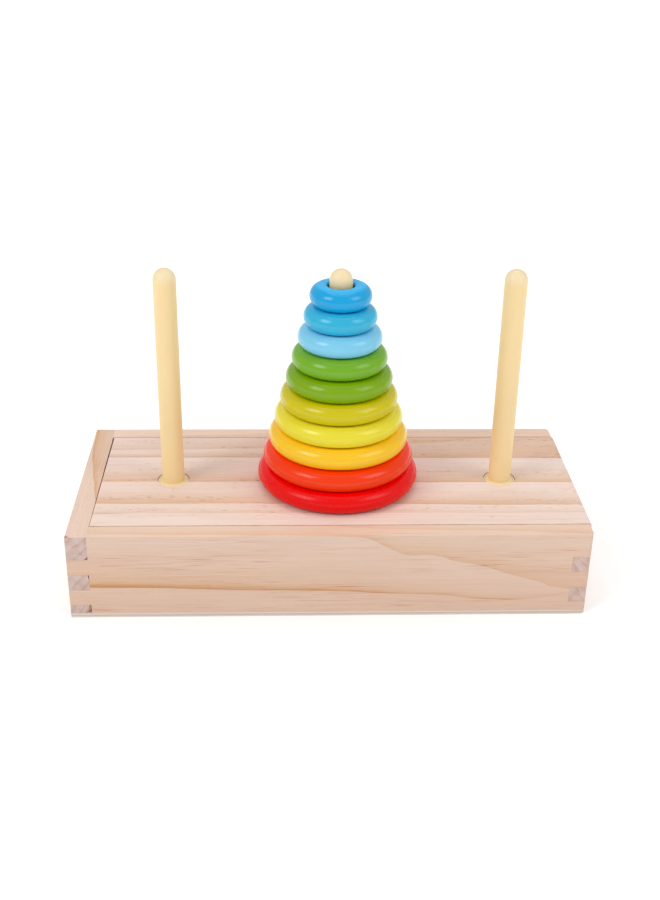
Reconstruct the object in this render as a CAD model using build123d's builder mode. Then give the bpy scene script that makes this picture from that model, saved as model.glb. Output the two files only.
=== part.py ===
"""Tower of Hanoi puzzle: a finger-jointed pine box with a sliding lid, three pegs and ten rings.

Millimetres, +Z up. The origin is on the table, under the middle of the closed puzzle. +X is the
way the lid slides out, and the front of the box faces -Y.
"""

import os

from build123d import *

# --- Driving dimensions -------------------------------------------------------------------

# Box
box_length = 223.0
box_width = 103.0
box_height = 40.0
wall = 9.0                 # thickness of the front, back and left walls
right_wall_thickness = 8.0
panel_thickness = 2.0
finger_height = 7.5
right_wall_top = 28.9
lid_proud = 1.0            # how far the lid's pull end stands out past the box

# Lid, and the grooves it runs in
lid_gap = 0.3              # around the lid, between it and the box
lid_end_gap = 0.6          # the open slit at the closed end
groove_depth = 4.0
groove_height = 4.8

# Pegs and their sockets
peg_radius = 5.0
peg_height = 100.0         # above the lid
peg_middle_x = 4.0
peg_spacing = 74.5
flange_radius = 6.15
flange_thickness = 1.2
spigot_radius = 4.0
spigot_length = 5.6
socket_radius = 7.0
socket_depth = 8.5         # of the pocket in the lid
socket_sunk = 0.3          # the socket's rim lies this far under the lid's face
push_fit = 0.05            # radial, spigot in socket
flange_gap = 0.1           # radial, flange in its recess

# Rings, the largest first
ring_colours = (
    "red", "orange_red", "amber", "yellow", "olive_yellow",
    "green", "leaf_green", "pale_blue", "sea_blue", "bright_blue",
)
largest_ring = 72.0        # diameter
ring_step = 5.0            # each ring is this much smaller than the one under it
ring_pitch = 9.3
ring_gap = 0.05            # between one ring and the next
ring_hole_radius = 5.8
hole_edge_radius = 1.0

# Eased edges
top_edge_radius = 1.2
pull_end_radius = 2.0      # upright edges at the end where the lid comes out
eased = 0.4

# --- Places worked out from them ----------------------------------------------------------

box_left = -(box_length + lid_proud) / 2
box_right = box_left + box_length
half_width = box_width / 2
inner_left = box_left + wall
inner_right = box_right - right_wall_thickness
inner_half_width = half_width - wall

lid_left = inner_left + lid_end_gap
lid_right = box_right + lid_proud
lid_length = lid_right - lid_left
lid_underside = right_wall_top + lid_gap
tongue_top = right_wall_top + groove_height - lid_gap
tongue_half_width = inner_half_width + groove_depth - lid_gap
lid_half_width = inner_half_width - lid_gap

socket_top = box_height - socket_sunk
socket_bottom = box_height - socket_depth
flange_bottom = socket_top - flange_thickness
spigot_bottom = flange_bottom - spigot_length
peg_top = box_height + peg_height

peg_places = {
    "left": peg_middle_x - peg_spacing,
    "centre": peg_middle_x,
    "right": peg_middle_x + peg_spacing,
}

# Heights between which the fingers of two walls take turns at a corner, from the bottom up.
finger_levels = [
    panel_thickness,
    right_wall_top - 3 * finger_height,
    right_wall_top - 2 * finger_height,
    right_wall_top - finger_height,
    right_wall_top,
    box_height,
]
fingers = list(zip(finger_levels[:-1], finger_levels[1:]))
odd_fingers = fingers[0::2]
even_fingers = fingers[1::2]


def panel_outline(left: float, right: float, bottom: float, top: float) -> None:
    """Add a rectangle between two uprights and two heights to the sketch being drawn."""
    with Locations(((left + right) / 2, (bottom + top) / 2)):
        Rectangle(right - left, top - bottom)


def finger_outlines(edge: float, tip: float, spans: list) -> None:
    """Add one finger between a wall's edge and its tip for each span of heights."""
    for low, high in spans:
        panel_outline(min(edge, tip), max(edge, tip), low, high)


def peg_profile_plane(x: float) -> Plane:
    """Give the upright plane through a peg's axis, with its local X to the right."""
    return Plane(origin=(x, 0, 0), x_dir=(1, 0, 0), z_dir=(0, -1, 0))


def upright_axis(x: float) -> Axis:
    """Give the vertical line through a peg's place."""
    return Axis((x, 0, 0), (0, 0, 1))


os.makedirs("parts", exist_ok=True)

# --- Box ----------------------------------------------------------------------------------

# Thin plate glued under the four walls, flush with their faces.
with BuildPart() as bottom_panel:
    with BuildSketch(Plane.XY):
        panel_outline(box_left, box_right, -half_width, half_width)
    extrude(amount=panel_thickness)
    pull_corners = bottom_panel.edges().filter_by(Axis.Z).group_by(Axis.X)[-1]
    fillet(pull_corners, radius=pull_end_radius)
bottom_panel.part.label = "bottom_panel"
export_step(bottom_panel.part, "parts/bottom_panel.step")

# Front wall: fingers at both ends, and the lid's groove, which runs out at the pull end.
with BuildPart() as front_wall:
    with BuildSketch(Plane.XZ.offset(inner_half_width)):
        panel_outline(inner_left, inner_right, panel_thickness, box_height)
        finger_outlines(inner_left, box_left, even_fingers)
        finger_outlines(inner_right, box_right, odd_fingers)
    extrude(amount=wall)
    with BuildSketch(Plane.XZ.offset(inner_half_width)):
        panel_outline(inner_left, box_right, right_wall_top, right_wall_top + groove_height)
    extrude(amount=groove_depth, mode=Mode.SUBTRACT)
    outer_edges = front_wall.edges().group_by(Axis.Y)[0]
    pull_edges = outer_edges.filter_by(Axis.Z).group_by(Axis.X)[-1]
    fillet(pull_edges, radius=pull_end_radius)
    top_edge = front_wall.edges().filter_by(Axis.X).group_by(Axis.Z)[-1].sort_by(Axis.Y)[0]
    fillet(top_edge, radius=top_edge_radius)
front_wall.part.label = "front_wall"
export_step(front_wall.part, "parts/front_wall.step")

# Back wall: the front wall's mirror image.
with BuildPart() as back_wall:
    mirror(front_wall.part, about=Plane.XZ)
back_wall.part.label = "back_wall"
export_step(back_wall.part, "parts/back_wall.step")

# Left wall: full height, with fingers that fill the front and back walls' notches.
with BuildPart() as left_wall:
    with BuildSketch(Plane.YZ.offset(box_left)):
        panel_outline(-inner_half_width, inner_half_width, panel_thickness, box_height)
        finger_outlines(-inner_half_width, -half_width, odd_fingers)
        finger_outlines(inner_half_width, half_width, odd_fingers)
    extrude(amount=wall)
    top_edge = left_wall.edges().filter_by(Axis.Y).group_by(Axis.Z)[-1].sort_by(Axis.X)[0]
    fillet(top_edge, radius=eased)
left_wall.part.label = "left_wall"
export_step(left_wall.part, "parts/left_wall.step")

# Right wall: low, so that the lid slides out over it.
with BuildPart() as right_wall:
    with BuildSketch(Plane.YZ.offset(inner_right)):
        panel_outline(-inner_half_width, inner_half_width, panel_thickness, right_wall_top)
        finger_outlines(-inner_half_width, -half_width, even_fingers)
        finger_outlines(inner_half_width, half_width, even_fingers)
    extrude(amount=right_wall_thickness)
    upright_edges = right_wall.edges().filter_by(Axis.Z).group_by(Axis.X)[-1]
    finger_corners = upright_edges.group_by(Axis.Y)
    fillet(finger_corners[0] + finger_corners[-1], radius=pull_end_radius)
right_wall.part.label = "right_wall"
export_step(right_wall.part, "parts/right_wall.step")

# --- Lid and sockets ----------------------------------------------------------------------

# Lid: its top is flush with the walls, and a tongue along each side runs in their grooves.
with BuildPart() as lid_panel:
    with BuildSketch(Plane.YZ.offset(lid_left)):
        panel_outline(-lid_half_width, lid_half_width, lid_underside, box_height)
        panel_outline(-tongue_half_width, tongue_half_width, lid_underside, tongue_top)
    extrude(amount=lid_length)
    pull_edge = lid_panel.edges().filter_by(Axis.Y).group_by(Axis.Z)[-1].sort_by(Axis.X)[-1]
    fillet(pull_edge, radius=top_edge_radius)
    with BuildSketch(Plane.XY.offset(box_height)):
        with Locations(*[(x, 0) for x in peg_places.values()]):
            Circle(socket_radius)
    extrude(amount=-socket_depth, mode=Mode.SUBTRACT)
    pocket_mouths = lid_panel.edges().filter_by(GeomType.CIRCLE).group_by(Axis.Z)[-1]
    chamfer(pocket_mouths, length=socket_sunk)
lid_panel.part.label = "lid_panel"
export_step(lid_panel.part, "parts/lid_panel.step")

# Socket: a turned cup pressed into the lid, with a wide recess for the peg's flange.
for side, x in peg_places.items():
    with BuildPart() as socket:
        with BuildSketch(Plane.XY.offset(socket_bottom)):
            with Locations((x, 0)):
                Circle(socket_radius)
        extrude(amount=socket_top - socket_bottom)
        with BuildSketch(Plane.XY.offset(socket_top)):
            with Locations((x, 0)):
                Circle(flange_radius + flange_gap)
        extrude(amount=-flange_thickness, mode=Mode.SUBTRACT)
        with BuildSketch(Plane.XY.offset(flange_bottom)):
            with Locations((x, 0)):
                Circle(spigot_radius + push_fit)
        extrude(amount=-spigot_length - push_fit, mode=Mode.SUBTRACT)
        rim_edges = socket.edges().filter_by(GeomType.CIRCLE).group_by(Axis.Z)[-1]
        fillet(rim_edges.sort_by(SortBy.RADIUS)[-1], radius=eased)
    socket.part.label = f"socket_{side}"
    export_step(socket.part, f"parts/socket_{side}.step")

# --- Pegs ---------------------------------------------------------------------------------

# Peg: a straight rod with a domed top, a flange that fills the socket's recess, and a spigot.
for side, x in peg_places.items():
    with BuildPart() as peg:
        with BuildSketch(peg_profile_plane(x)):
            with BuildLine():
                Polyline(
                    (peg_radius, peg_top - peg_radius),
                    (peg_radius, socket_top),
                    (flange_radius, socket_top),
                    (flange_radius, flange_bottom),
                    (spigot_radius, flange_bottom),
                    (spigot_radius, spigot_bottom),
                    (0, spigot_bottom),
                    (0, peg_top),
                )
                CenterArc((0, peg_top - peg_radius), peg_radius, 0, 90)
            make_face()
        revolve(axis=upright_axis(x))
    peg.part.label = f"peg_{side}"
    export_step(peg.part, f"parts/peg_{side}.step")

# --- Rings --------------------------------------------------------------------------------

# Ring: flat above and below, with a fully rounded outer edge and an eased hole.
for place, colour in enumerate(ring_colours):
    ring_bottom = box_height + ring_gap + place * ring_pitch
    ring_top = box_height + (place + 1) * ring_pitch
    round_radius = (ring_top - ring_bottom) / 2
    flat_radius = (largest_ring - place * ring_step) / 2 - round_radius
    with BuildPart() as ring:
        with BuildSketch(peg_profile_plane(peg_middle_x)) as ring_section:
            with BuildLine():
                Polyline(
                    (flat_radius, ring_bottom),
                    (ring_hole_radius, ring_bottom),
                    (ring_hole_radius, ring_top),
                    (flat_radius, ring_top),
                )
                CenterArc((flat_radius, ring_bottom + round_radius), round_radius, -90, 180)
            make_face()
            fillet(ring_section.vertices().group_by(Axis.X)[0], radius=hole_edge_radius)
        revolve(axis=upright_axis(peg_middle_x))
    ring.part.label = f"ring_{place + 1:02d}_{colour}"
    export_step(ring.part, f"parts/{ring.part.label}.step")
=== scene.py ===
"""Looks of a tower of Hanoi puzzle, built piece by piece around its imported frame.

The puzzle is a finger-jointed pine box with a sliding lid. Three cream pegs stand in sockets in
the lid, and ten enamelled rings are stacked on the middle peg. Lengths are in metres, +Z is up,
the lid slides out towards +X and the front of the box faces -Y. The grain figures of the boards
are written in millimetres, because that is how a board is marked out.
"""

import logging
import math
from dataclasses import dataclass
from enum import Enum
from typing import Sequence, Union

import bmesh
import bpy
from mathutils import Matrix, Quaternion, Vector

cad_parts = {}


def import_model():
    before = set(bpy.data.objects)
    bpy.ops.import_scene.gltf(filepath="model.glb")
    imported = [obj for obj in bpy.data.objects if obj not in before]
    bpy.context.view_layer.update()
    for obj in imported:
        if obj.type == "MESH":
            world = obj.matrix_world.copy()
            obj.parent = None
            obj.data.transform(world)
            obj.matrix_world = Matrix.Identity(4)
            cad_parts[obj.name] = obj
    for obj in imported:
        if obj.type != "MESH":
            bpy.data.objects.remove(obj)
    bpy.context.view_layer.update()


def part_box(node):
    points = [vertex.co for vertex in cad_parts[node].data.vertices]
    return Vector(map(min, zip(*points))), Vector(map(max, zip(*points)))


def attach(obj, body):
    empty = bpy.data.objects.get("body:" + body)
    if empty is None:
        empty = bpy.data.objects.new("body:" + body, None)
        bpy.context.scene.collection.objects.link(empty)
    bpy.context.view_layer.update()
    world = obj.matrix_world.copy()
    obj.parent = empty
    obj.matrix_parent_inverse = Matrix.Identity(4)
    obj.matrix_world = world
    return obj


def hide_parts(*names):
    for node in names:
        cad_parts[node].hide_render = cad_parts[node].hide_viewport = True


LOG = logging.getLogger("tower_of_hanoi")
MM = 0.001
TOLERANCE = 0.01 * MM
CORNER_ANGLE = math.radians(35)

Point = tuple[float, float]
Colour = tuple[float, float, float]
Stop = tuple[float, Colour]
Operand = Union["Value", float]
Settings = dict[str, object]
Inputs = dict[Union[str, int], object]


class Side(Enum):
    """Where a peg stands."""

    LEFT = "left"
    CENTRE = "centre"
    RIGHT = "right"


class Axis(Enum):
    """An axis of the puzzle's frame, by its place in a vector."""

    X = 0
    Y = 1
    Z = 2


def linear_light(level: int) -> float:
    """Undo the display curve of one channel.

    Args:
        level: The display level, 0 to 255.

    Returns:
        The light it stands for, 0 to 1.
    """
    share = level / 255
    if share <= 0.04045:
        return share / 12.92
    return ((share + 0.055) / 1.055) ** 2.4


def srgb(red: int, green: int, blue: int) -> Colour:
    """Turn a display colour into the linear one that shaders use.

    Args:
        red: Red, 0 to 255.
        green: Green, 0 to 255.
        blue: Blue, 0 to 255.

    Returns:
        The same colour in linear light.
    """
    return linear_light(red), linear_light(green), linear_light(blue)


# --- Shader expressions -------------------------------------------------------------------


class Value:
    """A shader socket that Python expressions can work on."""

    def __init__(self, graph: "Graph", socket: bpy.types.NodeSocket) -> None:
        """Wrap one output socket of a graph."""
        self.graph = graph
        self.socket = socket

    def __add__(self, other: Operand) -> "Value":
        """Add."""
        return self.graph.math("ADD", self, other)

    def __radd__(self, other: Operand) -> "Value":
        """Add to a number on the left."""
        return self.graph.math("ADD", other, self)

    def __sub__(self, other: Operand) -> "Value":
        """Subtract."""
        return self.graph.math("SUBTRACT", self, other)

    def __rsub__(self, other: Operand) -> "Value":
        """Subtract from a number on the left."""
        return self.graph.math("SUBTRACT", other, self)

    def __mul__(self, other: Operand) -> "Value":
        """Multiply."""
        return self.graph.math("MULTIPLY", self, other)

    def __rmul__(self, other: Operand) -> "Value":
        """Multiply a number on the left."""
        return self.graph.math("MULTIPLY", other, self)

    def __truediv__(self, other: Operand) -> "Value":
        """Divide."""
        return self.graph.math("DIVIDE", self, other)

    def __pow__(self, other: Operand) -> "Value":
        """Raise to a power."""
        return self.graph.math("POWER", self, other)

    def absolute(self) -> "Value":
        """Drop the sign."""
        return self.graph.math("ABSOLUTE", self)

    def fraction(self) -> "Value":
        """Keep what is after the decimal point."""
        return self.graph.math("FRACT", self)

    def clamp(self) -> "Value":
        """Hold the value between 0 and 1."""
        return self.graph.node("ShaderNodeClamp", inputs={"Value": self})

    def rise(self, low: float, high: float) -> "Value":
        """Rise smoothly from 0 at one level to 1 at another.

        Args:
            low: The level where the rise starts.
            high: The level where it ends.

        Returns:
            The risen value.
        """
        return self.graph.node(
            "ShaderNodeMapRange",
            {"interpolation_type": "SMOOTHSTEP"},
            {"Value": self, "From Min": low, "From Max": high},
        )


class Graph:
    """The node tree of one material, or of the world."""

    def __init__(self, owner: bpy.types.Material | bpy.types.World) -> None:
        """Start with an empty tree.

        Args:
            owner: The material or the world.
        """
        self.owner = owner
        owner.use_nodes = True
        self.tree = owner.node_tree
        self.tree.nodes.clear()

    def node(
        self,
        kind: str,
        settings: Settings | None = None,
        inputs: Inputs | None = None,
        output: str | int | None = 0,
    ) -> Value | None:
        """Add a node, set it up and feed its sockets.

        Args:
            kind: The node's type.
            settings: Its own properties, and "ramp" for how a ramp runs and its stops.
            inputs: What goes into its sockets, by name or number: a Value or plain numbers.
            output: The socket to hand back, or None for a node that has none.

        Returns:
            The chosen output.
        """
        made = self.tree.nodes.new(kind)
        for key, setting in (settings or {}).items():
            if key == "ramp":
                self._set_ramp(made.color_ramp, *setting)
            else:
                setattr(made, key, setting)
        for key, fed in (inputs or {}).items():
            if isinstance(fed, Value):
                self.tree.links.new(fed.socket, made.inputs[key])
            else:
                made.inputs[key].default_value = fed
        return None if output is None else Value(self, made.outputs[output])

    @staticmethod
    def _set_ramp(ramp: bpy.types.ColorRamp, kind: str, stops: Sequence[Stop]) -> None:
        """Give a ramp its stops, in order of place.

        Args:
            ramp: The ramp.
            kind: How it runs between its stops.
            stops: Each stop's place and colour.
        """
        ramp.interpolation = kind
        while len(ramp.elements) < len(stops):
            ramp.elements.new(1.0)
        for element, (place, colour) in zip(ramp.elements, stops):
            element.position = place
            element.color = (*colour, 1.0)

    def math(self, operation: str, *operands: Operand) -> Value:
        """Work out numbers with one Math node.

        Args:
            operation: The Math node's operation.
            *operands: Its inputs, in order.

        Returns:
            The result.
        """
        return self.node("ShaderNodeMath", {"operation": operation}, dict(enumerate(operands)))

    def position(self) -> Value:
        """Give the place on the piece.

        Returns:
            The place, in millimetres.
        """
        place = self.node("ShaderNodeTexCoord", output="Object")
        scale = {0: place, 1: (1 / MM, 1 / MM, 1 / MM)}
        return self.node("ShaderNodeVectorMath", {"operation": "MULTIPLY"}, scale)

    def parts(self, vector: Value) -> tuple[Value, Value, Value]:
        """Split a vector into its three numbers.

        Args:
            vector: The vector.

        Returns:
            X, Y and Z.
        """
        split = self.node("ShaderNodeSeparateXYZ", inputs={0: vector}).socket.node
        return tuple(Value(self, socket) for socket in split.outputs)

    def noise(self, vector: Value, sizes: Sequence[float], detail: float = 2.0) -> Value:
        """Give noise, about 0.5 on average, with blobs of a given size.

        Args:
            vector: The place, in millimetres.
            sizes: The blobs' size along X, Y and Z, in millimetres.
            detail: How many finer layers the noise has.

        Returns:
            The noise.
        """
        per_mm = tuple(1 / size for size in sizes)
        stretched = self.node(
            "ShaderNodeVectorMath", {"operation": "MULTIPLY"}, {0: vector, 1: per_mm}
        )
        return self.node(
            "ShaderNodeTexNoise", inputs={"Vector": stretched, "Scale": 1.0, "Detail": detail}
        )

    def ramp(self, value: Value, stops: Sequence[Stop], kind: str) -> Value:
        """Look a value up in a colour ramp.

        Args:
            value: Where to look, 0 to 1.
            stops: Each stop's place and colour.
            kind: How the ramp runs between its stops.

        Returns:
            The colour found there.
        """
        return self.node("ShaderNodeValToRGB", {"ramp": (kind, stops)}, {"Fac": value})

    @staticmethod
    def opaque(colour: Value | Colour) -> Value | tuple[float, float, float, float]:
        """Give a plain colour the fourth number that a Mix node wants."""
        return colour if isinstance(colour, Value) else (*colour, 1.0)

    def mix(self, share: Operand, first: Value | Colour, second: Value | Colour) -> Value:
        """Mix two colours.

        Args:
            share: How much of the second colour, 0 to 1.
            first: The first colour.
            second: The second colour.

        Returns:
            The mixed colour.
        """
        inputs = {0: share, 6: self.opaque(first), 7: self.opaque(second)}
        return self.node("ShaderNodeMix", {"data_type": "RGBA"}, inputs, output=2)

    def brighten(self, colour: Value | Colour, factor: Value) -> Value:
        """Multiply a colour by a number that varies over the surface.

        Args:
            colour: The colour.
            factor: The number, about 1.

        Returns:
            The lighter or darker colour.
        """
        settings = {"data_type": "RGBA", "blend_type": "MULTIPLY"}
        inputs = {0: 1.0, 6: self.opaque(colour), 7: factor}
        return self.node("ShaderNodeMix", settings, inputs, output=2)

    def bump(self, height: Value, distance: float, strength: float = 1.0) -> Value:
        """Turn a height into a surface normal.

        Args:
            height: The height, 0 to 1.
            distance: What a height of 1 stands for, in metres.
            strength: How much of it to show.

        Returns:
            The normal.
        """
        inputs = {"Height": height, "Distance": distance, "Strength": strength}
        return self.node("ShaderNodeBump", inputs=inputs)

    def finish(self, inputs: Inputs) -> bpy.types.Material:
        """Put the surface shader on and hand the material over.

        Args:
            inputs: What goes into the Principled shader.

        Returns:
            The finished material.
        """
        surface = self.node("ShaderNodeBsdfPrincipled", inputs=inputs)
        self.node("ShaderNodeOutputMaterial", inputs={"Surface": surface}, output=None)
        return self.owner


# --- Wood ---------------------------------------------------------------------------------


@dataclass(frozen=True)
class GrowthRing:
    """One year's growth as it crosses a board, from the paler wood to its dark outer line.

    Attributes:
        line: The outer line: places along the grain and across it, in millimetres.
        early: How dark the wood is where the ring starts, at the board's two ends.
        late: How dark it is at the outer line, at the board's two ends.
        gain: How long the wood stays pale before it darkens.
        crisp: How much darker still the last millimetre or two before the line is.
    """

    line: tuple[Point, ...]
    early: Point
    late: Point
    gain: float = 2.0
    crisp: float = 0.1


@dataclass(frozen=True)
class WoodTones:
    """The colours of bare pine.

    Attributes:
        pale: The palest early wood.
        body: Most of the wood.
        late: The darker wood that each year ends with.
        line: The growth lines.
        blush: The pinkish clouds over the rest.
        end_pale: The early wood on a sawn end.
        end_dark: The late wood and the pores there.
        streak: The long reddish streaks.
        resin: The short resin lines, scorched wood, and the dark seam edge: wear and painted shade.
    """

    pale: Colour
    body: Colour
    late: Colour
    line: Colour
    blush: Colour
    end_pale: Colour
    end_dark: Colour
    streak: Colour
    resin: Colour


@dataclass(frozen=True)
class PineFinish:
    """Sanded bare pine, with the growth figure of one board.

    Attributes:
        name: The material's name.
        along: The way the grain runs.
        across: The axis that the figure is marked out on.
        depth: The third axis, into the board.
        face: Where the figure lies on the depth axis, in millimetres.
        slant: How far the rings drift across for each millimetre of depth.
        pith: The tree's middle, across and in depth, which the rings on the sawn ends go round.
        ends: The board's ends along the grain, in millimetres.
        start: Where the first ring starts, in millimetres across the board.
        rings: The growth rings, in order outwards.
        beyond: How dark the wood is past the last ring.
        tones: The colours.
        resin_marks: How strongly the short resin lines show.
        streak_marks: How strongly the long reddish streaks show.
        streaks: How strongly the late wood breaks into streaks.
        painted_face_light: Painted light: how much paler the faces square to the figure are drawn.
        seam_wear_and_shade_edge: How far from the middle line its dark seam edge starts, if any:
            wear and painted shade.
        scorch: The middle of a small scorched spot, if it has one.
    """

    name: str
    along: Axis
    across: Axis
    depth: Axis
    face: float
    slant: float
    pith: Point
    ends: Point
    start: float
    rings: tuple[GrowthRing, ...]
    beyond: float
    tones: WoodTones
    resin_marks: float = 0.5
    streak_marks: float = 0.3
    streaks: float = 0.3
    painted_face_light: float = 0.0
    seam_wear_and_shade_edge: float | None = None
    scorch: tuple[float, float, float] | None = None

    def stretched(self, along: float, across: float) -> tuple[float, float, float]:
        """Give blob sizes that are long with the grain.

        Args:
            along: The size along the grain, in millimetres.
            across: The size across it, in millimetres.

        Returns:
            The size on each axis.
        """
        sizes = [across] * 3
        sizes[self.along.value] = along
        return tuple(sizes)

    def line_height(self, graph: Graph, line: tuple[Point, ...], share: Value) -> Operand:
        """Follow one growth line along the board.

        Args:
            graph: The material's graph.
            line: The line's points.
            share: The place along the board, 0 to 1.

        Returns:
            The line's place across the board, in millimetres.
        """
        heights = [height for _, height in line]
        low, high = min(heights), max(heights)
        if low == high:
            return low
        margin = (high - low) / 4
        low, high = low - margin, high + margin
        length = self.ends[1] - self.ends[0]
        stops = []
        for place, height in line:
            grey = (height - low) / (high - low)
            stops.append(((place - self.ends[0]) / length, (grey, grey, grey)))
        level = graph.ramp(share, stops, "CARDINAL")
        return level * (high - low) + low

    def darkness(self, graph: Graph, place: Value) -> Value:
        """Work out how dark the growth figure is.

        Args:
            graph: The material's graph.
            place: The place on the board, in millimetres.

        Returns:
            The darkness: 0 in pale early wood, 1 at a strong growth line.
        """
        axes = graph.parts(place)
        wave_height, ripple_height = 2.4, 0.5
        drift = (axes[self.depth.value] - self.face) * self.slant
        waves = (graph.noise(place, self.stretched(70, 14)) - 0.5) * wave_height
        ripples = (graph.noise(place, self.stretched(22, 3)) - 0.5) * ripple_height
        height = axes[self.across.value] + drift + waves + ripples
        share = (axes[self.along.value] - self.ends[0]) * (1 / (self.ends[1] - self.ends[0]))
        streak = (graph.noise(place, self.stretched(48, 1.0)) - 0.5) * self.streaks

        line_blur = 0.15
        inner = self.start
        inner_side = 0.0
        total = 0.0
        for ring in self.rings:
            outer = self.line_height(graph, ring.line, share)
            age = ((inner - height) / (inner - outer)).clamp()
            early = share * (ring.early[1] - ring.early[0]) + ring.early[0]
            late = share * (ring.late[1] - ring.late[0]) + ring.late[0]
            shade = early + (late - early) * age**ring.gain + age**14.0 * ring.crisp
            shade = shade + streak * (age + 0.3)
            outer_side = (height - outer).rise(-line_blur, line_blur)
            total = shade * (outer_side - inner_side) + total
            inner, inner_side = outer, outer_side
        return (streak + self.beyond) * (1.0 - inner_side) + total

    def end_grain(self, graph: Graph, place: Value) -> Value:
        """Colour the sawn ends, where the rings are arcs and the pores are open.

        Args:
            graph: The material's graph.
            place: The place on the board, in millimetres.

        Returns:
            The colour.
        """
        axes = graph.parts(place)
        side = axes[self.across.value] - self.pith[0]
        rise = axes[self.depth.value] - self.pith[1]
        ring_width = 4.2
        wobble = graph.noise(place, (9, 9, 9)) * 3
        radius = (side * side + rise * rise) ** 0.5 + wobble
        rings = (radius * (1 / ring_width)).fraction() ** 3.0
        pores = graph.noise(place, (0.5, 0.5, 0.5), 3.0)
        patches = graph.noise(place, (3.5, 3.5, 3.5))
        share = (rings * 0.4 + (pores - 0.5) * 1.5 + (patches - 0.5) * 1.4 + 0.2).clamp()
        return graph.mix(share, self.tones.end_pale, self.tones.end_dark)

    def marks(self, graph: Graph, place: Value, dark: Value, wood: Value) -> tuple[Value, Value]:
        """Draw the streaks, the resin lines, the scorch and the dark seam edge of wear and painted
        shade.

        Args:
            graph: The material's graph.
            place: The place on the board, in millimetres.
            dark: How dark the growth figure is.
            wood: The wood's colour so far.

        Returns:
            The marked colour, and how strong the resin lines are.
        """
        late_share = (dark * 1.2 + 0.3).clamp()
        patch = graph.noise(place, self.stretched(60, 8)).rise(0.45, 0.6)
        streak = graph.noise(place, self.stretched(22, 0.4), 2.0).rise(0.58, 0.66)
        streak = streak * patch * late_share * self.streak_marks
        wood = graph.mix(streak, wood, self.tones.streak)
        patch = graph.noise(place, self.stretched(45, 5)).rise(0.47, 0.62)
        fleck = graph.noise(place, self.stretched(3.4, 0.36), 0.0).rise(0.63, 0.7)
        resin = fleck * patch * late_share * self.resin_marks
        wood = graph.mix(resin, wood, self.tones.resin)
        axes = graph.parts(place)
        # The dark seam edge is partly wear and partly painted shade: the shade in the gap beside
        # the lid.
        if self.seam_wear_and_shade_edge is not None:
            off_middle = axes[self.across.value].absolute()
            seam_wear_and_shade = off_middle.rise(self.seam_wear_and_shade_edge, self.seam_wear_and_shade_edge + 0.15)
            seam_wear_and_shade = seam_wear_and_shade * axes[self.depth.value].rise(self.face - 0.5, self.face - 0.3)
            ragged = graph.noise(place, self.stretched(9, 9)).rise(0.3, 0.6)
            wood = graph.mix(seam_wear_and_shade * (ragged * 0.4 + 0.5), wood, self.tones.resin)
        if self.scorch is not None:
            distance = {"operation": "DISTANCE"}
            inputs = {0: place, 1: self.scorch}
            offset = graph.node("ShaderNodeVectorMath", distance, inputs, "Value")
            ragged = graph.noise(place, (0.8, 0.8, 0.8)) - 0.5
            spot = 1.0 - (offset + ragged * 1.2).rise(0.8, 2.2)
            wood = graph.mix(spot * 0.85, wood, self.tones.resin)
        return wood, resin

    def material(self) -> bpy.types.Material:
        """Build the material.

        Returns:
            The finished material.
        """
        graph = Graph(bpy.data.materials.new(self.name))
        place = graph.position()
        tones = self.tones
        dark = self.darkness(graph, place).clamp()
        stops = [(0.0, tones.pale), (0.35, tones.body), (0.72, tones.late), (1.0, tones.line)]
        wood = graph.ramp(dark, stops, "LINEAR")
        blush = graph.noise(place, self.stretched(60, 9)).rise(0.42, 0.68)
        wood = graph.mix(blush * 0.35, wood, tones.blush)

        fibre = graph.noise(place, self.stretched(14, 0.3), 3.0)
        strands = graph.noise(place, self.stretched(55, 1.5), 2.0)
        wood = graph.brighten(wood, (fibre - 0.5) * 0.16 + (strands - 0.5) * 0.12 + 1.0)
        wood, resin = self.marks(graph, place, dark, wood)

        facing = graph.parts(graph.node("ShaderNodeTexCoord", output="Normal"))
        # Painted light: faces square to the figure, such as a wall's top, are drawn paler for the
        # light that falls on them.
        edge = facing[self.across.value].absolute().rise(0.75, 0.95)
        wood = graph.brighten(wood, edge * self.painted_face_light + 1.0)
        sawn = facing[self.along.value].absolute().rise(0.6, 0.85)
        colour = graph.mix(sawn, wood, self.end_grain(graph, place))

        rough_ends = graph.noise(place, (0.35, 0.35, 0.35), 3.0)
        height = (fibre + dark * 0.5 - resin * 0.4) * (1.0 - sawn) + rough_ends * sawn * 2
        return graph.finish(
            {
                "Base Color": colour,
                "Roughness": (fibre - 0.5) * 0.2 + 0.62,
                "Specular IOR Level": 0.35,
                "Normal": graph.bump(height, 0.06 * MM, 0.6),
            }
        )


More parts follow.
